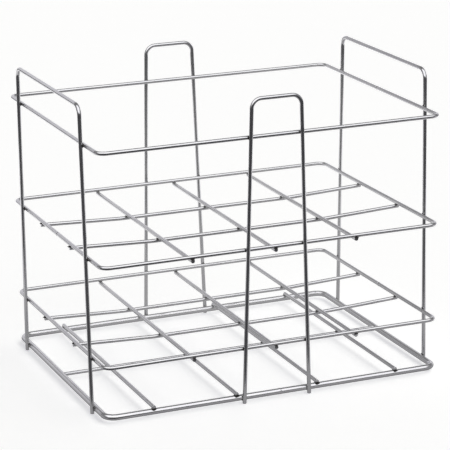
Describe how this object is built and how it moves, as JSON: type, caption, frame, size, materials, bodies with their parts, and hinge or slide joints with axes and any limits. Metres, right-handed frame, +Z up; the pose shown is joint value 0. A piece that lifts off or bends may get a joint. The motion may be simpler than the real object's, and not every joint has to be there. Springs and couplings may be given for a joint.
{
  "type": "test tube rack",
  "caption": "Welded stainless wire rack with open square cells on stacked wire grids and tall carrying handles, for standing large tubes or bottles upright.",
  "frame": {"origin": "on the floor plane through the eight leg ends, in the middle of the rack", "axes": "+X along the four-cell side towards the right-hand handle, +Y from the front handle to the rear handle, +Z up"},
  "size_m": [0.299, 0.2266, 0.2488],
  "materials": {
    "wire": "bright drawn stainless wire, satin with fine drawing lines along the wire",
    "base_wire": "bright drawn stainless wire, heavier gauge, satin with fine drawing lines along the wire",
    "weld": "dark, slightly rough resistance weld flash with straw to brown heat tint"
  },
  "bodies": {
    "root": {"top_ring": "wire", "upper_grid_ring": "wire", "lower_grid_ring": "wire", "base_ring": "base_wire", "left_handle": "wire", "right_handle": "wire", "front_handle": "wire", "rear_handle": "wire", "upper_cross_wire_left": "wire", "upper_cross_wire_middle": "wire", "upper_cross_wire_right": "wire", "upper_long_wire_front": "wire", "upper_long_wire_rear": "wire", "lower_cross_wire_left": "wire", "lower_cross_wire_middle": "wire", "lower_cross_wire_right": "wire", "lower_long_wire_front": "wire", "lower_long_wire_rear": "wire", "base_cross_wire_left": "wire", "base_cross_wire_centre_left": "wire", "base_cross_wire_centre_right": "wire", "base_cross_wire_right": "wire", "base_long_wire": "wire", "top_ring_welds": "weld", "upper_grid_welds": "weld", "lower_grid_welds": "weld", "base_welds": "weld"}
  },
  "joints": []
}
